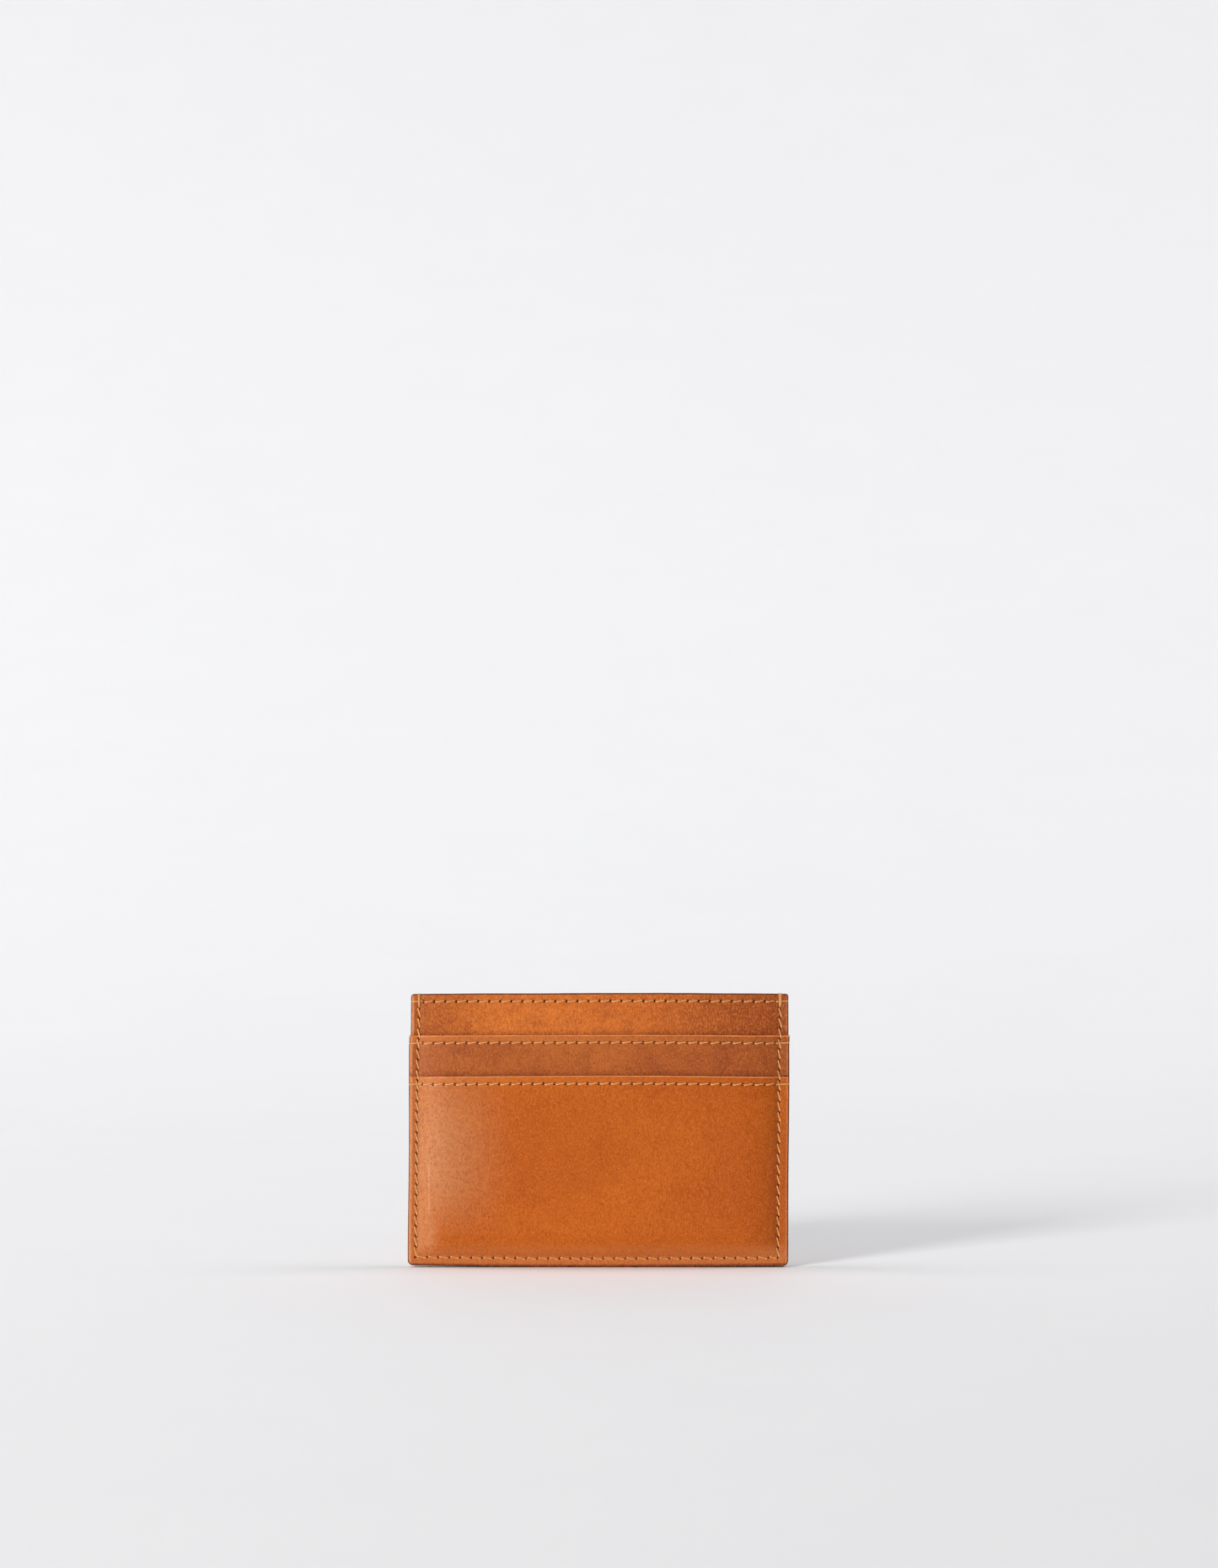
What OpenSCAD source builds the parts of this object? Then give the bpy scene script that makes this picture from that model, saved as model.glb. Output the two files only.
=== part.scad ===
// Leather card holder that stands on its long bottom edge.
// Two card slots on each face and an open compartment between the faces.
// +X runs along the width, +Z is up and the front faces -Y. The origin is at the middle of the base.
// All sizes are in millimetres.

/* [Body] */
// Width over the painted edges
body_w = 100; // [98:0.5:110]
// Height over the painted edges
body_h = 72; // [71:0.5:80]
// Radius of the two bottom corners
bottom_corner_r = 1.5; // [1:0.1:2.4]
// Radius of the two top corners
top_corner_r = 0.6; // [0.4:0.1:1]
// How much narrower each side is above the upper pocket
top_step = 0.3; // [0.1:0.05:0.5]

/* [Leather] */
// Thickness of the front and back panels
panel_t = 0.8; // [0.7:0.05:1.2]
// Thickness of the four pockets, which are skived thinner
pocket_t = 0.6; // [0.55:0.05:0.7]

/* [Slots] */
// Width of the card that each slot takes
card_w = 85.6; // [80:0.1:86]
// Thickness of the card that each slot takes
card_t = 0.76; // [0.7:0.02:0.9]
// Play between a card and its slot
slot_play = 0.04; // [0.02:0.01:0.2]
// Free thickness of the middle compartment
compartment_gap = 0.9; // [0.8:0.05:1.5]
// Height of the upper pocket's mouth
upper_mouth_z = 61; // [60:0.1:61.5]
// Height of the lower pocket's mouth
lower_mouth_z = 50.1; // [49:0.1:50.5]
// Width of the upper pocket's hidden stem
stem_w = 90.2; // [87:0.1:90.4]
// Height of the stem's bottom edge
stem_bottom_z = 11; // [9:0.5:12]

/* [Seams] */
// Distance of the rim seam from the edge
rim_inset = 2.3; // [2:0.1:2.6]
// Distance of a mouth seam below its mouth
mouth_drop = 2; // [1.8:0.1:2.2]
// Distance between the needle holes of a mouth seam
stitch_pitch = 2.9; // [2.8:0.02:2.92]
// Diameter of a needle hole
needle_hole_d = 0.7; // [0.66:0.02:0.8]
// Width of the thread
thread_w = 0.4; // [0.3:0.02:0.42]
// Thickness of the thread where it lies flat on the leather
thread_t = 0.2; // [0.15:0.01:0.2]

/* [Edge paint] */
// Thickness of the paint on every cut edge
paint_t = 0.15; // [0.1:0.01:0.2]

/* [Hidden] */
SIDES = ["front", "back"];
LEAVES = ["panel", "upper_pocket", "lower_pocket"];
RIM_PLACES = ["base", "left", "right"];
NODES = [
    for (side = SIDES, leaf = LEAVES) str(side, "_", leaf),
    for (place = RIM_PLACES) str(place, "_edge_paint"),
    for (side = SIDES, leaf = LEAVES) str(side, "_", leaf, "_edge_paint"),
    "rim_seam_needle_thread",
    "rim_seam_bobbin_thread",
    for (side = SIDES, leaf = LEAVES) str(side, "_", leaf, "_row_needle_thread"),
    for (side = SIDES, leaf = LEAVES) str(side, "_", leaf, "_row_bobbin_thread"),
    for (side = SIDES) str(side, "_stem_seam_needle_thread"),
    for (side = SIDES) str(side, "_stem_seam_bobbin_thread")
];
node = "all";

LEATHER = [0.72, 0.38, 0.15];
PAINT = [0.30, 0.15, 0.08];
THREAD = [0.76, 0.57, 0.36];
FAR = 200;
hole_sides = 8;

// A leaf lies flat in a land along the rim seam and rises over a ramp to its free middle.
seam_margin = 0.5;
card_side_play = 0.4;
ramp_z = 4;
stem_land = 2.8;
stem_ramp = 3;
tab_gap = 0.15;
groove_play = 0.02;
slot_gap = card_t + slot_play;
groove_depth = thread_t + groove_play;
groove_w = thread_w + 2 * groove_play;
land_x = body_w / 2 - rim_inset - seam_margin;
land_z = rim_inset + seam_margin;
flat_x = card_w / 2 + card_side_play;
upper_tab_z = lower_mouth_z + tab_gap;
stem_seam_z = stem_bottom_z + stem_land / 2;

// Distances of the inner faces from the mid-plane, in the free middle.
panel_in = compartment_gap / 2;
upper_in = panel_in + panel_t + slot_gap;
lower_in = upper_in + pocket_t + slot_gap;

// Needle holes of the rim seam up each side and along the base, of the rows and of the stem.
side_stitches = 24;
side_top_z = body_h - 3.6;
base_stitches = 33;
row_stitches = 32;
stem_stitches = 28;
rim_x = body_w / 2 - rim_inset;
side_holes = [for (i = [0 : side_stitches])
    rim_inset + i * (side_top_z - rim_inset) / side_stitches];
base_holes = [for (i = [0 : base_stitches]) -rim_x + i * 2 * rim_x / base_stitches];
row_holes = [for (i = [0 : row_stitches]) (i - row_stitches / 2) * stitch_pitch];
stem_holes = [for (i = [0 : stem_stitches]) (i - stem_stitches / 2) * stitch_pitch];
row_end_x = row_holes[row_stitches];
stem_end_x = stem_holes[stem_stitches];

function mouth_z(leaf) =
    leaf == "panel" ? body_h : leaf == "upper_pocket" ? upper_mouth_z : lower_mouth_z;
function row_z(leaf) = mouth_z(leaf) - mouth_drop;
function leaf_t(leaf) = leaf == "panel" ? panel_t : pocket_t;
function rim_level(leaf) = leaf == "panel" ? 0 : panel_t;
function free_level(leaf) =
    leaf == "panel" ? panel_in : leaf == "upper_pocket" ? upper_in : lower_in;

// A smooth step made of straight pieces, so that leather and thread share its corners.
ramp_pieces = 4;
RAMP = [for (i = [0 : ramp_pieces]) let (u = i / ramp_pieces) [u, u * u * (3 - 2 * u)]];
right_breaks = [for (p = RAMP) flat_x + p[0] * (land_x - flat_x)];
left_breaks = [for (i = [ramp_pieces : -1 : 0]) -right_breaks[i]];
breaks = concat(left_breaks, right_breaks);

// Distance of a leaf's inner face from the mid-plane at x, above the bottom ramp.
function inner_y(leaf, x) =
    rim_level(leaf)
    + (free_level(leaf) - rim_level(leaf)) * lookup((land_x - abs(x)) / (land_x - flat_x), RAMP);

// The same face along Z, as [height, distance] pairs over its bottom ramp.
function ramp_along_z(leaf) =
    let (
        stem = leaf == "upper_pocket",
        start = stem ? stem_bottom_z + stem_land : land_z,
        run = stem ? stem_ramp : ramp_z,
        low = stem ? panel_in + panel_t : rim_level(leaf),
        high = free_level(leaf)
    ) [for (p = RAMP) [start + p[0] * run, low + p[1] * (high - low)]];

// Everything is built on the +Y side, and the front is its mirror image.
module on(side)
    if (side == "front") mirror([0, 1, 0]) children();
    else children();

// Stands a drawing in X and Z upright, through the whole thickness.
module upright() rotate([90, 0, 0]) linear_extrude(FAR, center = true) children();

// Turns a drawing in Z and Y upright, centred on x = 0.
module sideways(w) rotate([0, -90, 0]) linear_extrude(w, center = true) children();

// ---------- Leather ----------

// A rectangle from z0 to z1 with corner radii r0 below and r1 above.
module board(w, z0, z1, r0, r1) {
    translate([-w / 2, z0 + r0]) square([w, z1 - z0 - r0 - r1]);
    translate([-w / 2 + r0, z0]) square([w - 2 * r0, 2 * r0]);
    translate([-w / 2 + r1, z1 - 2 * r1]) square([w - 2 * r1, 2 * r1]);
    for (s = [-1, 1]) {
        translate([s * (w / 2 - r0), z0 + r0]) circle(r0, $fn = 32);
        translate([s * (w / 2 - r1), z1 - r1]) circle(r1, $fn = 32);
    }
}

// The outline of a leaf, out to its paint, or to the leather with inset = paint_t.
module outline(leaf, inset) {
    w = body_w - 2 * inset;
    top = mouth_z(leaf) - inset;
    r0 = bottom_corner_r - inset;
    r1 = top_corner_r - inset;
    if (leaf == "panel") {
        board(w - 2 * top_step, inset, top, r0, r1);
        board(w, inset, upper_mouth_z - inset, r0, r1);
    } else if (leaf == "upper_pocket") {
        board(w, upper_tab_z, top, r1, r1);
        translate([-w / 2, upper_tab_z]) square([w, 2 * r1]);
        board(stem_w, stem_bottom_z, top, bottom_corner_r, r1);
    } else {
        board(w, inset, top, r0, r1);
        translate([-w / 2, top - 2 * r1]) square([w, 2 * r1]);
    }
}

// All that lies within a leaf's bent face, raised by lift, and above floor_y.
module within_face(leaf, lift, floor_y) {
    rim = rim_level(leaf) + lift;
    along_z = ramp_along_z(leaf);
    intersection() {
        linear_extrude(FAR, center = true)
            polygon(concat(
                [[-FAR, floor_y], [-FAR, rim]],
                [for (x = breaks) [x, inner_y(leaf, x) + lift]],
                [[FAR, rim], [FAR, floor_y]]));
        sideways(FAR)
            polygon(concat(
                [[-FAR, floor_y], [-FAR, along_z[0][1] + lift]],
                [for (p = along_z) [p[0], p[1] + lift]],
                [[FAR, along_z[ramp_pieces][1] + lift], [FAR, floor_y]]));
    }
}

// A bent leaf that has no outline yet.
module bent_leaf(leaf)
    difference() {
        within_face(leaf, leaf_t(leaf), 0);
        within_face(leaf, 0, -1);
    }

module needle_hole(x, z)
    translate([x, 0, z])
        rotate([90, 0, 0])
            cylinder(d = needle_hole_d, h = FAR, center = true, $fn = hole_sides);

// The holes of every seam that goes through a leaf.
module needle_holes(leaf) {
    first_z = leaf == "upper_pocket" ? upper_tab_z : 0;
    for (x = row_holes) needle_hole(x, row_z(leaf));
    for (z = side_holes, s = [-1, 1])
        if (z > first_z && z < mouth_z(leaf)) needle_hole(s * rim_x, z);
    if (leaf != "lower_pocket")
        for (x = stem_holes) needle_hole(x, stem_seam_z);
    if (leaf != "upper_pocket")
        for (i = [1 : base_stitches - 1]) needle_hole(base_holes[i], rim_inset);
}

// Grooves that the row's bobbin thread and the needle thread's two tails are pulled into.
module row_grooves(leaf)
    translate([0, 0, row_z(leaf)])
        linear_extrude(groove_w, center = true) {
            polygon(ribbon(leaf, -1, groove_depth, row_end_x + thread_w));
            tails(leaf, leaf_t(leaf) - groove_depth, leaf_t(leaf) + 1, FAR);
        }

// The groove of the stem seam's bobbin thread, in the panel's inner face.
module stem_groove()
    translate([0, panel_in, stem_seam_z])
        cube([2 * stem_end_x + 2 * thread_w, 2 * groove_depth, groove_w], center = true);

module leather(leaf)
    color(LEATHER)
        difference() {
            intersection() {
                bent_leaf(leaf);
                upright() outline(leaf, paint_t);
            }
            needle_holes(leaf);
            row_grooves(leaf);
            if (leaf == "panel") stem_groove();
        }

// ---------- Edge paint ----------

// The film over every leaf that reaches the rim. The base piece takes in both bottom corners.
module rim_edge_paint(place) {
    side = place == "left" ? -1 : 1;
    color(PAINT)
        intersection() {
            rim_films();
            if (place == "base")
                translate([0, 0, bottom_corner_r - FAR / 2]) cube(FAR, center = true);
            else
                translate([side * FAR / 2, 0, bottom_corner_r + FAR / 2]) cube(FAR, center = true);
        }
}

module rim_films() {
    rim_film("panel", body_h, 2 * panel_t);
    difference() {
        rim_film("lower_pocket", upper_mouth_z, 2 * (panel_t + pocket_t));
        cube([FAR, 2 * panel_t, FAR], center = true);
        translate([0, 0, lower_mouth_z + tab_gap / 2]) cube([FAR, FAR, tab_gap], center = true);
    }
}

module rim_film(leaf, top, t)
    intersection() {
        upright() difference() {
            rim_outline(leaf, top, 0);
            rim_outline(leaf, top, paint_t);
        }
        translate([0, 0, top - paint_t - FAR / 2]) cube([FAR, t, FAR], center = true);
    }

module rim_outline(leaf, top, inset)
    if (leaf == "panel") outline(leaf, inset);
    else board(body_w - 2 * inset, inset, top - inset, bottom_corner_r - inset, top_corner_r - inset);

// The film on a leaf's mouth, between the films on its two sides.
module mouth_edge_paint(leaf)
    color(PAINT)
        intersection() {
            bent_leaf(leaf);
            upright() intersection() {
                outline(leaf, 0);
                translate([-body_w / 2 + top_step, mouth_z(leaf) - paint_t])
                    square([body_w - 2 * top_step, paint_t]);
            }
        }

// ---------- Thread ----------

// A ribbon along X between two distances from a leaf's inner face, out to +-end_x.
function ribbon(leaf, low, high, end_x) =
    let (xs = concat([-end_x], [for (x = breaks) if (abs(x) < end_x) x], [end_x]))
    concat(
        [for (x = xs) [x, inner_y(leaf, x) + low]],
        [for (i = [len(xs) - 1 : -1 : 0]) [xs[i], inner_y(leaf, xs[i]) + high]]);

// The two ends of a ribbon, outside the row's last holes.
module tails(leaf, low, high, end_x)
    difference() {
        polygon(ribbon(leaf, low, high, end_x));
        square([2 * row_end_x, FAR], center = true);
    }

// A straight leg of thread in a needle hole, from y0 to y1.
module leg(x, y0, y1) translate([x - thread_w / 2, y0]) square([thread_w, y1 - y0]);

// The needle thread of a row: proud of the outer face, with two tails that run to the sides.
module row_needle_thread(leaf) {
    t = leaf_t(leaf);
    tail_end = body_w / 2 - top_step - 2 * paint_t;
    color(THREAD)
        translate([0, 0, row_z(leaf)])
            linear_extrude(thread_w, center = true) {
                polygon(ribbon(leaf, t, t + thread_t, row_end_x + thread_w / 2));
                for (x = row_holes) leg(x, inner_y(leaf, x) + t / 2, inner_y(leaf, x) + t + thread_t / 2);
                tails(leaf, t - thread_t, t, tail_end);
            }
}

// The bobbin thread of a row, sunk in the inner face.
module row_bobbin_thread(leaf)
    color(THREAD)
        translate([0, 0, row_z(leaf)])
            linear_extrude(thread_w, center = true) {
                polygon(ribbon(leaf, 0, thread_t, row_end_x + thread_w / 2));
                for (x = row_holes)
                    leg(x, inner_y(leaf, x) + thread_t / 2, inner_y(leaf, x) + leaf_t(leaf) / 2);
            }

// The stem seam runs along the free middle, through the stem and the panel.
stem_mid_y = panel_in + panel_t;
module stem_seam_needle_thread()
    color(THREAD)
        translate([0, 0, stem_seam_z])
            linear_extrude(thread_w, center = true) {
                translate([0, stem_mid_y + pocket_t + thread_t / 2])
                    square([2 * stem_end_x + thread_w, thread_t], center = true);
                for (x = stem_holes) leg(x, stem_mid_y, stem_mid_y + pocket_t + thread_t / 2);
            }

module stem_seam_bobbin_thread()
    color(THREAD)
        translate([0, 0, stem_seam_z])
            linear_extrude(thread_w, center = true) {
                translate([0, panel_in + thread_t / 2])
                    square([2 * stem_end_x + thread_w, thread_t], center = true);
                for (x = stem_holes) leg(x, panel_in + thread_t / 2, stem_mid_y);
            }

// Half of the rim seam on one face: proud of the rim's land, with legs that reach the mid-plane.
module rim_seam_half() {
    low = panel_t + pocket_t;
    top = side_top_z + thread_w / 2;
    for (s = [-1, 1])
        translate([s * rim_x, 0, 0])
            sideways(thread_w) {
                polygon([
                    [rim_inset - thread_w / 2, low],
                    [upper_mouth_z, low],
                    [upper_mouth_z, panel_t],
                    [top, panel_t],
                    [top, panel_t + thread_t],
                    [upper_mouth_z + thread_t, panel_t + thread_t],
                    [upper_mouth_z + thread_t, low + thread_t],
                    [rim_inset - thread_w / 2, low + thread_t]
                ]);
                for (z = side_holes) leg(z, 0, (z < upper_mouth_z ? low : panel_t) + thread_t / 2);
            }
    translate([0, 0, rim_inset])
        linear_extrude(thread_w, center = true) {
            translate([0, low + thread_t / 2]) square([2 * rim_x, thread_t], center = true);
            for (i = [1 : base_stitches - 1]) leg(base_holes[i], 0, low + thread_t / 2);
        }
}

// The backtack at each top corner, where the needle thread wraps over the top edge.
module backtack() {
    z0 = side_top_z + thread_w / 2;
    for (s = [-1, 1])
        translate([s * rim_x, 0, 0])
            sideways(thread_w)
                difference() {
                    translate([z0, -panel_t - thread_t])
                        square([body_h + thread_t - z0, 2 * (panel_t + thread_t)]);
                    translate([z0 - 1, -panel_t]) square([body_h - z0 + 1, 2 * panel_t]);
                }
}

module rim_seam_needle_thread()
    color(THREAD) {
        on("front") rim_seam_half();
        backtack();
    }

module rim_seam_bobbin_thread() color(THREAD) rim_seam_half();

// ---------- Assembly ----------

function shown(name) = node == "all" || node == name;

for (side = SIDES, leaf = LEAVES) {
    name = str(side, "_", leaf);
    if (shown(name)) on(side) leather(leaf);
    if (shown(str(name, "_edge_paint"))) on(side) mouth_edge_paint(leaf);
    if (shown(str(name, "_row_needle_thread"))) on(side) row_needle_thread(leaf);
    if (shown(str(name, "_row_bobbin_thread"))) on(side) row_bobbin_thread(leaf);
}
for (side = SIDES) {
    if (shown(str(side, "_stem_seam_needle_thread"))) on(side) stem_seam_needle_thread();
    if (shown(str(side, "_stem_seam_bobbin_thread"))) on(side) stem_seam_bobbin_thread();
}
for (place = RIM_PLACES)
    if (shown(str(place, "_edge_paint"))) rim_edge_paint(place);
if (shown("rim_seam_needle_thread")) rim_seam_needle_thread();
if (shown("rim_seam_bobbin_thread")) rim_seam_bobbin_thread();
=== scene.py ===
"""A stitched leather card holder, built around its CAD frame.

Lengths are in millimetres until a mesh is made. Each side of the holder is worked out in its own
face frame: u runs to the right and z up for someone looking at that face, and d is the distance
out from the middle plane.
"""

import math

import bpy
import numpy as np
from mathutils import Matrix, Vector
from mathutils.geometry import delaunay_2d_cdt

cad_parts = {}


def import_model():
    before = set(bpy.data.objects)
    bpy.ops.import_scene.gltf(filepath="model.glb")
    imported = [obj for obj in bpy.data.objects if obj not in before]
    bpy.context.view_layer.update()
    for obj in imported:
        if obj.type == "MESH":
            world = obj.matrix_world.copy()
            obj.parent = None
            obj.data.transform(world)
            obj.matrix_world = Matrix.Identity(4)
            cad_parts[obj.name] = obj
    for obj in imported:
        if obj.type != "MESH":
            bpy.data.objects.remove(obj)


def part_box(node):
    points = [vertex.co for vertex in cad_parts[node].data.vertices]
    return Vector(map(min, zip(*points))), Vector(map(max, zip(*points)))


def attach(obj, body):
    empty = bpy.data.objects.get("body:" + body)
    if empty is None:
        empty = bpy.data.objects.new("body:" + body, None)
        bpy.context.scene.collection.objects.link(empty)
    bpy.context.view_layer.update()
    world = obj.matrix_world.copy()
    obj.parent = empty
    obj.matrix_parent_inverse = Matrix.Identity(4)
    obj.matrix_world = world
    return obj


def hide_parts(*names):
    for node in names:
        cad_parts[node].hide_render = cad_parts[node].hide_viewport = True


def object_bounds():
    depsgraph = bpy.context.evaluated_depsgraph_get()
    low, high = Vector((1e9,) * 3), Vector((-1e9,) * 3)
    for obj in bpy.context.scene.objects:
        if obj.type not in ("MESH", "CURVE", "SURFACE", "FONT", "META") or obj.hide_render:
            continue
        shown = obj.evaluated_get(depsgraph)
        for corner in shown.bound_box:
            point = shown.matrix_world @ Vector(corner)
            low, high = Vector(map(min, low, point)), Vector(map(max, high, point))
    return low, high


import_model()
cad_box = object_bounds()

MM = 0.001
SIDES = ("front", "back")
LEAVES = ("panel", "upper_pocket", "lower_pocket")


def box_mm(node):
    low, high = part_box(node)
    return np.array(low) / MM, np.array(high) / MM


# ---------------------------------------------------------------- sizes

# Read from the boxes of the frame where those give them, and otherwise set here.
HALF_W = box_mm("right_edge_paint")[1][0]
LEATHER_T = {"panel": 0.8, "upper_pocket": 0.6, "lower_pocket": 0.6}
RIM_LEVEL = {"panel": 0.0, "upper_pocket": 0.8, "lower_pocket": 0.8}
FREE_LEVEL = {leaf: box_mm("back_" + leaf)[1][1] - LEATHER_T[leaf] for leaf in LEAVES}
MOUTH_Z = {leaf: box_mm(f"back_{leaf}_edge_paint")[1][2] for leaf in LEAVES}
ROW_Z = {leaf: sum(box_mm(f"back_{leaf}_row_bobbin_thread")[i][2] for i in (0, 1)) / 2 for leaf in LEAVES}
SLOT_GAP = FREE_LEVEL["upper_pocket"] - FREE_LEVEL["panel"] - LEATHER_T["panel"]
STEM_HALF_W = 45.1
STEM_Z = box_mm("back_upper_pocket")[0][2]
TAB_GAP = 0.15
TOP_STEP = 0.3
BOTTOM_R = 1.5
TOP_R = 0.6
MOUTH_R = {"panel": TOP_R, "upper_pocket": 0.3, "lower_pocket": 0.2}

# Needle holes. A thread's box ends half a thread past its last hole.
THREAD_W = 0.4
ROW_END = box_mm("back_panel_row_bobbin_thread")[1][0] - THREAD_W / 2
ROW_U = np.linspace(-ROW_END, ROW_END, 33)
RIM_U = box_mm("rim_seam_bobbin_thread")[1][0] - THREAD_W / 2
RIM_Z0 = box_mm("rim_seam_bobbin_thread")[0][2] + THREAD_W / 2
RIM_Z1 = box_mm("rim_seam_bobbin_thread")[1][2] - THREAD_W / 2
SIDE_Z = np.linspace(RIM_Z0, RIM_Z1, 25)
BASE_U = np.linspace(-RIM_U, RIM_U, 34)
STEM_END = box_mm("back_stem_seam_bobbin_thread")[1][0] - THREAD_W / 2
STEM_U = np.linspace(-STEM_END, STEM_END, 29)
STEM_SEAM_Z = sum(box_mm("back_stem_seam_bobbin_thread")[i][2] for i in (0, 1)) / 2

# The leather's bend: flat out to LAND_U, then a long soft shoulder.
LAND_U = RIM_U - 0.5
LAND_Z = RIM_Z0 + 0.5
SHOULDER_W = 14.0
SHOULDER_H = 7.0
CROWN = 0.25
CROWN_H = 14.0
STEM_FOOT = 2.8
STEM_RISE = 6.0
LIP_PULL = 0.18
LIP_FADE = 2.5

# The channel that each kind of seam presses into the grain side, as (depth, spread).
ROW_CHANNEL = (0.10, 0.42)
RIM_CHANNEL = (0.11, 0.4)

# Needle holes as (half length, half width, angle).
ROUND_HOLE = (0.36, 0.35, 0.0)
SIDE_SLIT = (0.44, 0.16, math.radians(-58))
BASE_SLIT = (0.48, 0.21, math.radians(35))

# The first seed of each random thing.
SEED_LOOSE = 3
SEED_MOUTH = 5
SEED_WEAR = 77
SEED_ROWS = 100
SEED_RIM = 200
SEED_STEM = 300


# ---------------------------------------------------------------- shape of the leaves


def smooth(t):
    t = np.clip(t, 0, 1)
    return t * t * (3 - 2 * t)


def value_noise(u, z, cell, seed):
    """Smooth noise from -1 to 1 with features of one cell, the same on every run."""
    size = 64
    table = np.random.default_rng(seed).uniform(-1, 1, (size, size))
    gu, gz = np.asarray(u) / cell + 32, np.asarray(z) / cell + 8
    iu, iz = np.floor(gu).astype(int), np.floor(gz).astype(int)
    fu, fz = smooth(gu - iu), smooth(gz - iz)
    corner = lambda a, b: table[(iu + a) % size, (iz + b) % size]
    low = corner(0, 0) * (1 - fu) + corner(1, 0) * fu
    high = corner(0, 1) * (1 - fu) + corner(1, 1) * fu
    return low * (1 - fz) + high * fz


def shoulder(u):
    t = np.clip((LAND_U - np.abs(u)) / SHOULDER_W, 0, 1)
    return 1 - (1 - t) ** 3.5


def foot(z, start, height):
    t = np.clip((z - start) / height, 0, 1)
    return 1 - (1 - t) ** 2.4


def crown(u, z):
    """The slight swell of the whole face, the same for every leaf."""
    return CROWN * np.clip(1 - (np.abs(u) / LAND_U) ** 2, 0, 1) * foot(z, LAND_Z, CROWN_H)


def inner_depth(leaf, u, z):
    """Depth of a leaf's inner face at (u, z)."""
    side = shoulder(u)
    base = foot(z, LAND_Z, SHOULDER_H)
    if leaf == "panel":
        return FREE_LEVEL["panel"] * side * base + crown(u, z)
    lip = -LIP_PULL * np.exp(-np.clip(MOUTH_Z[leaf] - z, 0, None) / LIP_FADE) * side
    if leaf == "upper_pocket":
        on_panel = inner_depth("panel", u, z) + LEATHER_T["panel"]
        return on_panel + (SLOT_GAP + lip) * side * foot(z, STEM_Z + STEM_FOOT, STEM_RISE)
    rise = FREE_LEVEL["lower_pocket"] - RIM_LEVEL["lower_pocket"]
    return RIM_LEVEL["lower_pocket"] + (rise + lip) * side * base + crown(u, z)


def seam_channel(leaf, u, z):
    """How far the thread pulls the grain side in along the seams."""
    row = np.exp(-(((z - ROW_Z[leaf]) / ROW_CHANNEL[1]) ** 2))
    sides = np.exp(-(((np.abs(u) - RIM_U) / RIM_CHANNEL[1]) ** 2))
    base = np.exp(-(((z - RIM_Z0) / RIM_CHANNEL[1]) ** 2)) * (np.abs(u) < RIM_U)
    rim = np.maximum(sides, base if leaf != "upper_pocket" else 0 * base)
    return ROW_CHANNEL[0] * row + RIM_CHANNEL[0] * rim


def outer_depth(leaf, u, z, face="front"):
    """Depth of a leaf's grain side at (u, z), without its needle holes."""
    d = inner_depth(leaf, u, z) + LEATHER_T[leaf]
    seed = 10 * LEAVES.index(leaf) + 5 * SIDES.index(face)
    inside = smooth((HALF_W - np.abs(u)) / 3)
    d = d + inside * (0.035 * value_noise(u, z, 7.0, seed + 1) + 0.012 * value_noise(u, z, 2.1, seed + 2))
    if leaf == "lower_pocket":
        # The hidden stem's edge shows through as a faint crease.
        edge = 1 / (1 + np.exp(-(STEM_HALF_W - np.abs(u)) / 0.14))
        ridge = np.exp(-(((STEM_HALF_W - 0.9 - np.abs(u)) / 0.22) ** 2)) * smooth((30 - z) / 6)
        reach = smooth((z - STEM_Z) / 3) * smooth((44 - z) / 8)
        d = d + (0.08 * edge + 0.03 * ridge) * reach * np.where(u < 0, 1.0, 0.3)
    return d - seam_channel(leaf, u, z)


def warp(x, z):
    """The hand-cut irregularity of the whole outline, in world x and z."""
    x, z = np.asarray(x, float), np.asarray(z, float)
    h = z / MOUTH_Z["panel"]
    across = x / HALF_W
    corner_lift = np.where(across < 0, 0.48, 0.24) * across**2 * (1 - np.clip(h, 0, 1)) ** 2
    top_drop = np.where(across < 0, 0.28, 0.10) * across**2 * np.clip(h, 0, 1) ** 4
    lean = 0.16 * smooth((z - 57) / 6) - 0.30 * (1 - smooth(z / 46))
    wave = 0.05 * np.sin(z / 7.3 + 1.0) * across
    # The rim seams wander from the edges, and the pocket mouths sag less in the middle.
    left_seam = 0.40 * smooth((z - 35) / 28) - 0.20
    right_seam = 0.20 * smooth((z - 52) / 14) - 0.42
    seam = np.exp(-(((np.abs(x) - RIM_U) / 1.1) ** 2)) * np.where(across < 0, left_seam, right_seam)
    rise = 0.42 * np.exp(-(((z - 51) / 9) ** 2)) * (1 - np.clip(np.abs(across), 0, 1) ** 2)
    return x + lean + wave + seam, z + corner_lift - top_drop + rise + 0.04 * np.sin(x / 9.1) * h


def world(face, u, z, d):
    """Points of a face frame as world coordinates in metres."""
    flip = 1 if face == "front" else -1
    x, zw = warp(flip * np.asarray(u), z)
    y = -flip * np.asarray(d) * np.ones_like(x)
    return np.stack([x, y, zw * np.ones_like(x)], -1) * MM


# ---------------------------------------------------------------- mesh helpers


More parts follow.
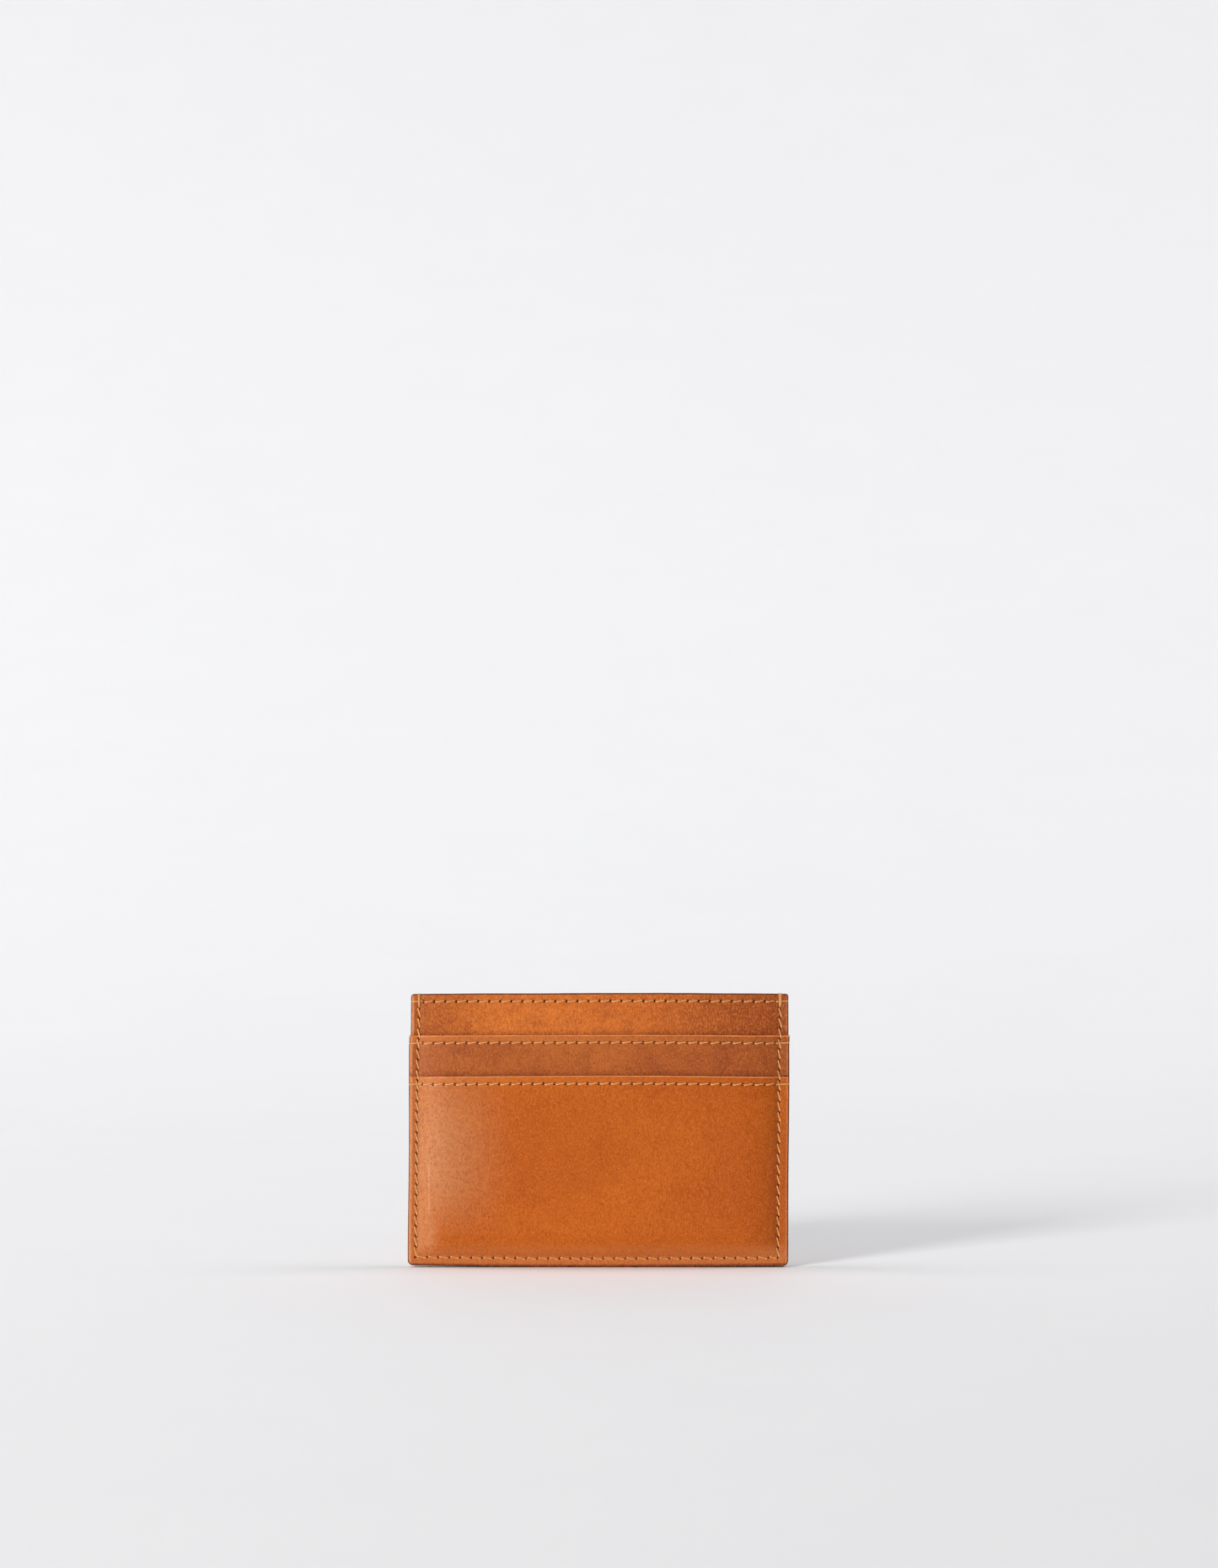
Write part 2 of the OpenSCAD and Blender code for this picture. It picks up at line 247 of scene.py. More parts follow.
def make_object(name, points, faces, materials, face_materials=None, smooth_angle=50):
    mesh = bpy.data.meshes.new(name)
    mesh.from_pydata([tuple(p) for p in points], [], [tuple(int(i) for i in f) for f in faces])
    for material in materials:
        mesh.materials.append(material)
    if face_materials is not None:
        mesh.polygons.foreach_set("material_index", np.asarray(face_materials, dtype=np.int32))
    mesh.polygons.foreach_set("use_smooth", np.ones(len(mesh.polygons), dtype=bool))
    mesh.set_sharp_from_angle(angle=math.radians(smooth_angle))
    mesh.update()
    obj = bpy.data.objects.new(name, mesh)
    bpy.context.scene.collection.objects.link(obj)
    return obj


def stands_for(obj, node):
    """Says that a mesh takes the place of a node of the frame."""
    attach(obj, "root")
    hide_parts(node)


def rounded_loop(corners, step=0.8):
    """A closed loop through (u, z, radius) corners, counterclockwise, with arcs at the corners."""
    points = []
    n = len(corners)
    for i in range(n):
        before, here, after = (np.array(corners[(i + k) % n][:2], float) for k in (-1, 0, 1))
        radius = corners[i][2]
        to_before = (before - here) / np.linalg.norm(before - here)
        to_after = (after - here) / np.linalg.norm(after - here)
        if radius > 0:
            centre = here + radius * (to_before + to_after)
            for a in np.linspace(0, math.pi / 2, 7):
                points.append(centre - radius * (to_after * math.cos(a) + to_before * math.sin(a)))
        else:
            points.append(here)
        start = points[-1]
        end = after + corners[(i + 1) % n][2] * (here - after) / np.linalg.norm(here - after)
        count = max(1, int(np.linalg.norm(end - start) / step))
        for k in range(1, count):
            points.append(start + (end - start) * k / count)
    return np.array(points)


def inset(loop, distance):
    """A counterclockwise loop moved inwards."""
    along = np.roll(loop, -1, 0) - np.roll(loop, 1, 0)
    along /= np.linalg.norm(along, axis=1)[:, None]
    return loop + distance * np.stack([-along[:, 1], along[:, 0]], 1)


def within(loop, p):
    """Which points lie inside a closed loop."""
    a, b = loop, np.roll(loop, -1, 0)
    crosses = (a[None, :, 1] > p[:, None, 1]) != (b[None, :, 1] > p[:, None, 1])
    height = np.where(np.abs(b[:, 1] - a[:, 1]) < 1e-12, 1e-12, b[:, 1] - a[:, 1])
    at = a[:, 0] + (p[:, None, 1] - a[:, 1]) / height * (b[:, 0] - a[:, 0])
    return (crosses & (p[:, None, 0] < at)).sum(1) % 2 == 1


def nearest(points, targets):
    """Distance from each point to the nearest target."""
    best = np.full(len(points), 1e9)
    for i in range(0, len(targets), 64):
        part = targets[i : i + 64]
        gap = np.linalg.norm(points[:, None] - part[None], axis=2).min(1)
        best = np.minimum(best, gap)
    return best


# ---------------------------------------------------------------- leather

EDGE_R = 0.32
PAINT_T = 0.1
HOLE_SIDES = 12

# Marks in leaf_surface: a point of a ring along the outline has AT_EDGE plus its distance inwards, one
# of a ring around a needle hole AT_HOLE plus its distance outwards, and a loose point 0.
AT_EDGE, AT_HOLE = 1.0, 2.0
# The share of the rounding that the edge gets, and how deep and how wide the leather dips at a hole.
EDGE_DROP = 0.8
HOLE_DROP, HOLE_FADE = 0.16, 0.11


def leaf_corners(leaf):
    """A leaf's outline as (u, z, radius) corners."""
    half = HALF_W - PAINT_T
    top = MOUTH_Z[leaf] - PAINT_T
    low_r, top_r = BOTTOM_R - PAINT_T, MOUTH_R[leaf]
    if leaf == "panel":
        narrow, step_z = half - TOP_STEP, MOUTH_Z["upper_pocket"]
        return [
            (-half, PAINT_T, low_r), (half, PAINT_T, low_r), (half, step_z, 0), (narrow, step_z, 0),
            (narrow, top, top_r), (-narrow, top, top_r), (-narrow, step_z, 0), (-half, step_z, 0),
        ]
    if leaf == "upper_pocket":
        shut, tab = MOUTH_Z["lower_pocket"] + 0.03, MOUTH_Z["lower_pocket"] + TAB_GAP
        return [
            (-STEM_HALF_W, STEM_Z, BOTTOM_R), (STEM_HALF_W, STEM_Z, BOTTOM_R), (STEM_HALF_W, shut, 0),
            (RIM_U, shut, 0), (half, tab + 0.12, 0), (half, top, top_r), (-half, top, top_r),
            (-half, shut, 0), (-STEM_HALF_W, shut, 0),
        ]
    return [(-half, PAINT_T, low_r), (half, PAINT_T, low_r), (half, top, top_r), (-half, top, top_r)]


def leaf_holes(leaf, face):
    """Needle holes as (u, z, half length, half width, angle)."""
    turn = 1 if face == "front" else -1
    holes = [(u, ROW_Z[leaf], *ROUND_HOLE) for u in ROW_U]
    low = MOUTH_Z["lower_pocket"] + TAB_GAP if leaf == "upper_pocket" else 0
    for z in SIDE_Z:
        if low < z < MOUTH_Z[leaf]:
            slit = SIDE_SLIT if z > RIM_Z0 else BASE_SLIT
            holes += [(s * RIM_U, z, slit[0], slit[1], turn * slit[2]) for s in (-1, 1)]
    if leaf != "lower_pocket":
        holes += [(u, STEM_SEAM_Z, *ROUND_HOLE) for u in STEM_U]
    if leaf != "upper_pocket":
        holes += [(u, RIM_Z0, BASE_SLIT[0], BASE_SLIT[1], turn * BASE_SLIT[2]) for u in BASE_U[1:-1]]
    return holes


def hole_ring(hole, grow):
    """Points around a needle hole, clockwise, so that the leather lies to their left."""
    u, z, a, b, turn = hole
    t = -np.arange(HOLE_SIDES) * 2 * math.pi / HOLE_SIDES
    along, across = (a + grow) * np.cos(t), (b + grow) * np.sin(t)
    cos, sin = math.cos(turn), math.sin(turn)
    return np.stack([u + along * cos - across * sin, z + along * sin + across * cos], 1)


def field_points(leaf, fine):
    """Loose points between the outline and the holes, closer together where the leather bends."""
    step = 1.0 if fine else 1.7
    near = 0.5 if fine else 1.0
    u = np.concatenate([np.arange(0, 34, step), np.arange(34, HALF_W, near)])
    u = np.concatenate([-u[:0:-1], u])
    z = np.concatenate([np.arange(0.5, 12, near), np.arange(12, MOUTH_Z[leaf], step)])
    grid = np.stack(np.meshgrid(u, z), -1).reshape(-1, 2)
    rng = np.random.default_rng(SEED_LOOSE)
    grid = grid + rng.uniform(-0.12, 0.12, grid.shape) * near
    if not fine:
        return grid
    seam = np.arange(-ROW_END, ROW_END, 0.48)
    lines = [np.stack([seam, np.full_like(seam, ROW_Z[leaf] + off)], 1) for off in (-0.95, -0.5, 0.5, 0.95)]
    return np.concatenate([grid] + lines)


def leaf_surface(leaf, face, outer):
    """One side of a leaf: points (u, z), their depths, triangles, and the loops on its border."""
    outline = rounded_loop(leaf_corners(leaf))
    holes = leaf_holes(leaf, face)
    insets = (0.05, 0.12, 0.21, EDGE_R, 0.5) if outer else (0.35,)
    grows = (0.07, 0.2, 0.4) if outer else (0.2,)
    count = len(outline)
    points, drop, loops = [outline], [np.full(count, AT_EDGE)], [np.arange(count)]
    if not outer:
        # The fibres close round the thread on the flesh side.
        holes = [(u, z, a * 0.12, b * 0.16, turn) for u, z, a, b, turn in holes]
    for hole in holes:
        ring = hole_ring(hole, 0)
        loops.append(np.arange(count, count + len(ring)))
        points.append(ring)
        drop.append(np.full(len(ring), AT_HOLE))
        count += len(ring)
    for hole in holes:
        for grow in grows:
            ring = hole_ring(hole, grow)
            points.append(ring)
            drop.append(np.full(len(ring), AT_HOLE + grow))
    for distance in insets:
        ring = inset(outline, distance)
        points.append(ring)
        drop.append(np.full(len(ring), AT_EDGE + distance))
    loose = field_points(leaf, outer)
    centres = np.array([h[:2] for h in holes])
    keep = within(outline, loose) & (nearest(loose, outline) > 0.75) & (nearest(loose, centres) > 0.95)
    points.append(loose[keep])
    drop.append(np.zeros(keep.sum()))
    points, drop = np.concatenate(points), np.concatenate(drop)

    edges = []
    for loop in loops:
        edges += list(zip(loop.tolist(), np.roll(loop, -1).tolist()))
    out = delaunay_2d_cdt([Vector(p) for p in points], edges, [], 0, 1e-5)
    new_points = np.array([tuple(v) for v in out[0]])
    new_of = {}
    for new, olds in enumerate(out[3]):
        for old in olds:
            new_of[old] = new
    new_drop = np.zeros(len(new_points))
    for old, new in new_of.items():
        new_drop[new] = max(new_drop[new], drop[old])
    loops = [np.array([new_of[int(i)] for i in loop]) for loop in loops]

    triangles = np.array(out[2])
    owner = np.full(len(new_points), -1)
    for k, loop in enumerate(loops[1:]):
        owner[loop] = k
    in_hole = (owner[triangles] >= 0).all(1) & (owner[triangles].max(1) == owner[triangles].min(1))
    centre = new_points[triangles].mean(1)
    triangles = triangles[~in_hole & within(outline, centre)]
    a, b, c = (new_points[triangles[:, i]] for i in range(3))
    area = (b[:, 0] - a[:, 0]) * (c[:, 1] - a[:, 1]) - (b[:, 1] - a[:, 1]) * (c[:, 0] - a[:, 0])
    triangles[area < 0] = triangles[area < 0][:, ::-1]

    u, z = new_points[:, 0], new_points[:, 1]
    depth = outer_depth(leaf, u, z, face) if outer else inner_depth(leaf, u, z)
    at_edge = (new_drop >= AT_EDGE) & (new_drop < AT_HOLE)
    at_hole = new_drop >= AT_HOLE
    edge_r = EDGE_R if outer else 0.2
    distance = np.clip(new_drop - AT_EDGE, 0, edge_r)
    rounding = edge_r - np.sqrt(edge_r**2 - (edge_r - distance) ** 2)
    if not outer:
        rounding = -rounding * (z > MOUTH_Z[leaf] - 0.5)
    if leaf == "upper_pocket":
        # Up to just above the lower pocket's mouth the rounding is less.
        low_share = np.where(u > RIM_U, 0.8, 0.25)
        rounding = rounding * np.where(z < MOUTH_Z["lower_pocket"] + 0.7, low_share, 1.0)
    depth = depth - np.where(at_edge, rounding * EDGE_DROP, 0)
    if outer:
        depth = depth - np.where(at_hole, HOLE_DROP * np.exp(-(new_drop - AT_HOLE) / HOLE_FADE), 0)
    return new_points, depth, triangles, loops


def make_leaf(leaf, face, materials):
    """A leaf's two sides and the walls between them. materials are the grain, flesh and cut ones."""
    points, faces, kinds, sides = [], [], [], []
    start = 0
    for kind, outer in enumerate((True, False)):
        flat, depth, triangles, loops = leaf_surface(leaf, face, outer)
        points.append(world(face, flat[:, 0], flat[:, 1], depth))
        order = triangles if outer else triangles[:, ::-1]
        faces += (order + start).tolist()
        kinds += [kind] * len(order)
        sides.append([loop + start for loop in loops])
        start += len(flat)
    for top, bottom in zip(*sides):
        for i in range(len(top)):
            j = (i + 1) % len(top)
            faces.append((top[i], bottom[i], bottom[j], top[j]))
            kinds.append(2)
    obj = make_object(f"{face}_{leaf}_leather", np.concatenate(points), faces, materials, kinds)
    stands_for(obj, f"{face}_{leaf}")


# ---------------------------------------------------------------- edge paint

# Where the film begins on a rounded edge, in degrees from the leaf's face. Less laps over further.
RIM_LAP = {"base": 12, "left": 30, "right": 16}
MOUTH_LAP = 34
# Depths of the lines between the leaves at the rim, and the radius of the panels' edge above them.
PLY_LINES = (0.8, 0.0)
PANEL_EDGE_R = 0.25
# How far under the upper pocket's mouth the rim starts to get thinner.
STEP_BLEND = 0.9


def film_profile(half_t, radius, lines, start):
    """Half of a crowned film around an edge, as (out from the leather's edge, depth), from its lap on."""
    film, lap_lift = 0.07, 0.012
    profile = []
    for a in np.linspace(math.radians(start), math.radians(90), 8):
        lift = film * smooth((a - math.radians(start - 4)) / math.radians(30)) + lap_lift
        reach = radius + lift
        profile.append((-radius + reach * math.sin(a), half_t - radius + reach * math.cos(a)))
    for depth in (half_t - radius) * np.array([0.85, 0.55, 0.25]):
        profile.append((film + 0.03 * (1 - (depth / half_t) ** 2), depth))
    for line in lines:
        for off, out in ((0.1, 0.0), (0.04, -0.02), (0.0, -0.045), (-0.04, -0.02), (-0.1, 0.0)):
            if line > 0 or off >= 0:
                profile.append((film + 0.02 + out, line + off))
    return sorted(profile, key=lambda p: -p[1])


def film_strip(stations, start):
    """Sweeps the film along stations.

    A station is (x, z, out x, out z, middle depth, half thickness, ply lines, edge radius).
    """
    points, faces = [], []
    for x, z, nx, nz, middle, half_t, lines, radius in stations:
        half = film_profile(half_t, radius, lines, start)
        low = [(n, -d) for n, d in half if d > 1e-6][::-1]
        ring = half + low + [(-0.3, -half_t * 0.75), (-0.3, half_t * 0.75)]
        points.append([(x + nx * n, z + nz * n, middle + d) for n, d in ring])
    rows, n = len(points), len(points[0])
    for i in range(rows - 1):
        for j in range(n):
            k = (j + 1) % n
            faces.append((i * n + j, (i + 1) * n + j, (i + 1) * n + k, i * n + k))
    faces.append(tuple(range(n)))
    faces.append(tuple(range(rows * n - 1, (rows - 1) * n - 1, -1)))
    return np.array(points).reshape(-1, 3), faces


def join(parts):
    """One list of points and one of faces from several."""
    points, faces, start = [], [], 0
    for p, f in parts:
        points.append(p)
        faces += [tuple(i + start for i in face) for face in f]
        start += len(p)
    return np.concatenate(points), faces


def rim_station(x, z, nx, nz, half_t, lines, radius):
    wear = 0.05 * value_noise(x, z, 3.0, SEED_WEAR)
    return (x, z, nx, nz, 0.0, half_t, lines, radius + wear)


def make_rim_paint(material):
    half = HALF_W - PAINT_T
    full_t = LEATHER_T["panel"] + LEATHER_T["lower_pocket"]
    step_z, top = MOUTH_Z["upper_pocket"], MOUTH_Z["panel"]
    corner = BOTTOM_R - PAINT_T
    quarter = np.linspace(0, math.pi / 2, 9)
    # The base, from the left corner round to the right one.
    base = [
        (-half + corner * (1 - math.cos(a)), BOTTOM_R - corner * math.sin(a), -math.cos(a), -math.sin(a))
        for a in quarter
    ]
    base += [(x, PAINT_T, 0, -1) for x in np.linspace(-half + corner, half - corner, 160)[1:-1]]
    base += [
        (half - corner * (1 - math.sin(a)), BOTTOM_R - corner * math.cos(a), math.sin(a), -math.cos(a))
        for a in quarter
    ]
    strips = {"base": [[rim_station(*s, full_t, PLY_LINES, EDGE_R) for s in base]]}
    narrow, blend_z, round_z = half - TOP_STEP, step_z - STEP_BLEND, top - PAINT_T - TOP_R
    for place, side in (("left", -1), ("right", 1)):
        body = [(side * half, z, side, 0, full_t) for z in np.linspace(BOTTOM_R, blend_z, 96)]
        body += [
            (side * half, blend_z + 0.75 * k / 4, side, 0, full_t - 0.02 * k**2) for k in range(1, 5)
        ]
        upper = [(side * narrow, z, side, 0) for z in np.arange(step_z - 1.0, top - TOP_R, 0.6)]
        for a in quarter:
            x = side * (narrow - TOP_R + TOP_R * math.cos(a))
            upper.append((x, round_z + TOP_R * math.sin(a), side * math.cos(a), math.sin(a)))
        strips[place] = [
            [rim_station(*s, PLY_LINES, EDGE_R) for s in body],
            [rim_station(*s, LEATHER_T["panel"], (0.0,), PANEL_EDGE_R) for s in upper],
        ]
    for place, runs in strips.items():
        turn = 1 if place == "left" else -1
        points, faces = join([film_strip(run[::turn], RIM_LAP[place]) for run in runs])
        x, z = warp(points[:, 0], points[:, 1])
        placed = np.stack([x, points[:, 2], z], 1) * MM
        obj = make_object(f"{place}_edge_paint_film", placed, faces, [material])
        stands_for(obj, f"{place}_edge_paint")


def make_mouth_paint(leaf, face, material):
    """The film on a leaf's top edge. It turns down over a pocket's corners; the rim film has the panel's."""
    end = HALF_W - PAINT_T - (TOP_STEP if leaf == "panel" else 0)
    top = MOUTH_Z[leaf] - PAINT_T
    radius = MOUTH_R[leaf]
    turn = [] if leaf == "panel" else np.radians([15, 35, 55, 75])
    straight = np.linspace(-end + radius, end - radius, 140)
    path = [(u, top + 0.02 * value_noise(u, top, 4.0, SEED_MOUTH), 0.0, 1.0) for u in straight]
    left = [
        (-end + radius * (1 - math.cos(a)), top - radius * (1 - math.sin(a)), -math.cos(a), math.sin(a))
        for a in turn
    ]
    right = [(-u, z, -nu, nz) for u, z, nu, nz in left[::-1]]
    stations = []
    for u, z, nu, nz in left + path + right:
        low, high = inner_depth(leaf, u, z), outer_depth(leaf, u, z, face)
        stations.append((u, z, nu, nz, (low + high) / 2, (high - low) / 2 + 0.02, (), 0.2))
    points, faces = film_strip(stations[::-1], MOUTH_LAP)
    obj = make_object(f"{face}_{leaf}_edge_paint_film", world(face, *points.T), faces, [material])
    stands_for(obj, f"{face}_{leaf}_edge_paint")


# ---------------------------------------------------------------- thread

TUBE_SIDES = 12
PLIES = 3
PLY_DEPTH = 0.13
LAY = 1.1


def spline(knots, samples):
    """A smooth curve through rows of knots, with the same number of columns."""
    knots = np.array(knots, float)
    padded = np.vstack([2 * knots[0] - knots[1], knots, 2 * knots[-1] - knots[-2]])
    out = []
    for s in np.linspace(0, len(knots) - 1 - 1e-9, samples):
        i, t = int(s), s - int(s)
        a, b, c, d = padded[i : i + 4]
        square, cube = 2 * a - 5 * b + 4 * c - d, 3 * b - a - 3 * c + d
        out.append(0.5 * (2 * b + (c - a) * t + square * t**2 + cube * t**3))
    return np.array(out)


def twisted_tube(path, radii, phase):
    """A thread of twisted plies along a path of (u, z, d) points."""
    step = np.diff(path, axis=0, prepend=path[:1])
    length = np.cumsum(np.linalg.norm(step, axis=1))
    tangent = np.gradient(path, axis=0)
    tangent /= np.linalg.norm(tangent, axis=1)[:, None]
    normal = np.cross(tangent[0], [0.3, 0.5, 0.8])
    points = []
    for p, t, r, s in zip(path, tangent, radii, length):
        normal = normal - t * np.dot(normal, t)
        normal /= np.linalg.norm(normal)
        other = np.cross(t, normal)
        a = np.arange(TUBE_SIDES) * 2 * math.pi / TUBE_SIDES
        ply = 1 + PLY_DEPTH * np.cos(PLIES * (a - 2 * math.pi * s / LAY - phase))
        points.append(p + (r * ply)[:, None] * (np.cos(a)[:, None] * normal + np.sin(a)[:, None] * other))
    n, rows = TUBE_SIDES, len(points)
    faces = [
        (i * n + j, i * n + (j + 1) % n, (i + 1) * n + (j + 1) % n, (i + 1) * n + j)
        for i in range(rows - 1)
        for j in range(n)
    ]
    faces.append(tuple(range(n - 1, -1, -1)))
    faces.append(tuple(range((rows - 1) * n, rows * n)))
    return np.concatenate(points), faces


# A stitch as (share of its length, across, height over the leather, radius), from hole to hole. At the
# rim both ends of a stitch meet in the middle of each hole and so close it.
ROW_STITCH = (
    (0.085, -0.03, -0.48, 0.12), (0.115, -0.09, -0.12, 0.15), (0.17, -0.15, 0.09, 0.18),
    (0.28, -0.15, 0.14, 0.185), (0.43, -0.06, 0.12, 0.15), (0.60, 0.05, 0.10, 0.13), (0.77, 0.13, 0.08, 0.12),
    (0.865, 0.16, -0.02, 0.11), (0.905, 0.10, -0.46, 0.10),
)
SIDE_STITCH = (
    (0.0, 0.0, -0.64, 0.13), (0.065, 0.14, -0.46, 0.13), (0.10, 0.25, -0.06, 0.165), (0.16, 0.29, 0.12, 0.19),
    (0.30, 0.19, 0.14, 0.175), (0.52, 0.0, 0.12, 0.16), (0.72, -0.18, 0.14, 0.175), (0.85, -0.29, 0.12, 0.19),
    (0.915, -0.24, -0.06, 0.165), (0.945, -0.14, -0.46, 0.13), (1.0, 0.0, -0.64, 0.13),
)
BASE_STITCH = (
    (0.0, 0.0, -0.64, 0.13), (0.085, 0.11, -0.46, 0.13), (0.13, 0.22, -0.06, 0.155),
    (0.20, 0.24, 0.11, 0.18), (0.33, 0.12, 0.07, 0.12), (0.52, 0.0, 0.03, 0.095),
    (0.70, -0.11, 0.05, 0.11), (0.82, -0.23, 0.10, 0.17), (0.885, -0.22, -0.06, 0.145),
    (0.925, -0.11, -0.46, 0.12), (1.0, 0.0, -0.64, 0.13),
)
BOBBIN_STITCH = (
    (0.0, 0.0, -0.04, 0.10), (0.08, 0.0, 0.0, 0.13), (0.25, -0.02, 0.03, 0.13), (0.5, 0.0, 0.04, 0.13),
    (0.75, 0.02, 0.03, 0.13), (0.92, 0.0, 0.0, 0.13), (1.0, 0.0, -0.04, 0.10),
)
# The ends of a row, from its last hole to the cut at either side.
RIGHT_TAIL = (
    (0.02, 0.0, -0.4, 0.19), (0.10, -0.07, 0.02, 0.2), (0.2, -0.08, 0.12, 0.2), (0.45, 0.0, 0.02, 0.15),
    (0.75, 0.06, 0.1, 0.14), (1.0, 0.12, 0.02, 0.13),
)
LEFT_TAIL = (
    (0.0, -0.04, 0.0, 0.15), (0.3, -0.02, 0.1, 0.17), (0.6, 0.03, 0.02, 0.15), (0.85, 0.10, 0.06, 0.13),
    (0.96, 0.08, -0.1, 0.12), (0.99, 0.03, -0.4, 0.12),
)


def stitch(start, end, pattern, surface, rng, samples=22, inward=False):
    """One stitch from hole to hole, in the face frame. surface(u, z) is the leather's depth."""
    start, end = np.array(start, float), np.array(end, float)
    along = end - start
    across = np.array([-along[1], along[0]]) / np.linalg.norm(along)
    sway = rng.normal(0, 0.022, 3)
    knots = []
    for share, side, height, radius in pattern:
        p = start + along * share + across * (side * (1 + sway[0] * 4) + sway[1])
        knots.append((p[0], p[1], height * (1 + sway[2] * 3), radius))
    curve = spline(knots, samples)
    depth = surface(curve[:, 0], curve[:, 1])
    height = -curve[:, 2] if inward else curve[:, 2]
    path = np.stack([curve[:, 0], curve[:, 1], depth + height], 1)
    return twisted_tube(path, curve[:, 3], rng.uniform(0, 6.28))


def make_thread(node, face, parts, material):
    """Stitches in a face frame, as the mesh of one thread node."""
    points, faces = join(parts)
    obj = make_object(f"{node}_strand", world(face, *points.T), faces, [material])
    stands_for(obj, node)


def make_row_threads(leaf, face, material):
    rng = np.random.default_rng(SEED_ROWS + 10 * SIDES.index(face) + LEAVES.index(leaf))
    z = ROW_Z[leaf]
    over = lambda u, v: outer_depth(leaf, u, v, face)
    under = lambda u, v: inner_depth(leaf, u, v)
    pairs = list(zip(ROW_U[:-1], ROW_U[1:]))
    needle = [stitch((a, z), (b, z), ROW_STITCH, over, rng) for a, b in pairs]
    # The row was sewn before assembly and cut off at both sides.
    end = HALF_W - (TOP_STEP if leaf == "panel" else 0) - 0.05
    needle.append(stitch((ROW_END, z), (end, z), RIGHT_TAIL, over, rng))
    needle.append(stitch((-end, z), (-ROW_END, z), LEFT_TAIL, over, rng))
    make_thread(f"{face}_{leaf}_row_needle_thread", face, needle, material)
    bobbin = [stitch((a, z), (b, z), BOBBIN_STITCH, under, rng, samples=14, inward=True) for a, b in pairs]
    make_thread(f"{face}_{leaf}_row_bobbin_thread", face, bobbin, material)


def rim_surface(face):
    """Depth of whatever leaf lies outermost at the rim."""

    def depth(u, z):
        low = outer_depth("lower_pocket", u, z, face)
        mid = outer_depth("upper_pocket", u, z, face)
        top = outer_depth("panel", u, z, face)
        stacked = np.where(z < MOUTH_Z["lower_pocket"], low, mid)
        step = smooth((z - MOUTH_Z["upper_pocket"] + 0.1) / 0.7)
        return stacked * (1 - step) + top * step

    return depth


def make_rim_thread(face, kind, material):
    rng = np.random.default_rng(SEED_RIM + SIDES.index(face))
    surface = rim_surface(face)
    turn = 1 if face == "front" else -1
    # Seen upwards along a column, the left of the path is its positive side.
    side_pattern = [(s, -turn * c, h, r) for s, c, h, r in SIDE_STITCH]
    base_pattern = [(s, turn * c, h, r) for s, c, h, r in BASE_STITCH]
    parts = []
    for side in (-1, 1):
        for low, high in zip(SIDE_Z[:-1], SIDE_Z[1:]):
            parts.append(stitch((side * RIM_U, low), (side * RIM_U, high), side_pattern, surface, rng))
    for a, b in zip(BASE_U[:-1], BASE_U[1:]):
        parts.append(stitch((a, RIM_Z0), (b, RIM_Z0), base_pattern, surface, rng))
    if kind == "needle":
        parts += backtacks(surface, rng)
    make_thread(f"rim_seam_{kind}_thread", face, parts, material)


def backtacks(surface, rng):
    """Strands that lock the rim seam by wrapping over the top edge at both corners."""
    parts = []
    top = MOUTH_Z["panel"]
    out = LEATHER_T["panel"] + 0.1
    for side, strands in ((-1, (-0.20, 0.10)), (1, (-0.30, -0.04, 0.24))):
        for shift in strands:
            u = side * RIM_U + shift
            lean = rng.normal(0, 0.05)
            half = [
                (side * RIM_U + shift * 0.2, RIM_Z1 + 0.05, out - 0.5, 0.12),
                (side * RIM_U + shift * 0.5, RIM_Z1 + 0.45, out - 0.02, 0.13),
                (u + lean, top - 2.0, out + 0.02, 0.135),
                (u, top - 0.6, out - 0.02, 0.13),
                (u, top - 0.06, out - 0.17, 0.12),
                (u - lean, top + 0.06, 0.30, 0.12),
            ]
            knots = half + [(ku, kz, -kd, kr) for ku, kz, kd, kr in half[::-1]]
            curve = spline(knots, 60)
            parts.append(twisted_tube(curve[:, :3], curve[:, 3], rng.uniform(0, 6.28)))
    return parts


def make_stem_threads(face, material):
    rng = np.random.default_rng(SEED_STEM + SIDES.index(face))
    z = STEM_SEAM_Z
    over = lambda u, v: outer_depth("upper_pocket", u, v, face)
    under = lambda u, v: inner_depth("panel", u, v)
    pairs = list(zip(STEM_U[:-1], STEM_U[1:]))
    needle = [stitch((a, z), (b, z), ROW_STITCH, over, rng, samples=16) for a, b in pairs]
    bobbin = [stitch((a, z), (b, z), BOBBIN_STITCH, under, rng, samples=12, inward=True) for a, b in pairs]
    make_thread(f"{face}_stem_seam_needle_thread", face, needle, material)
    make_thread(f"{face}_stem_seam_bobbin_thread", face, bobbin, material)


# ---------------------------------------------------------------- materials

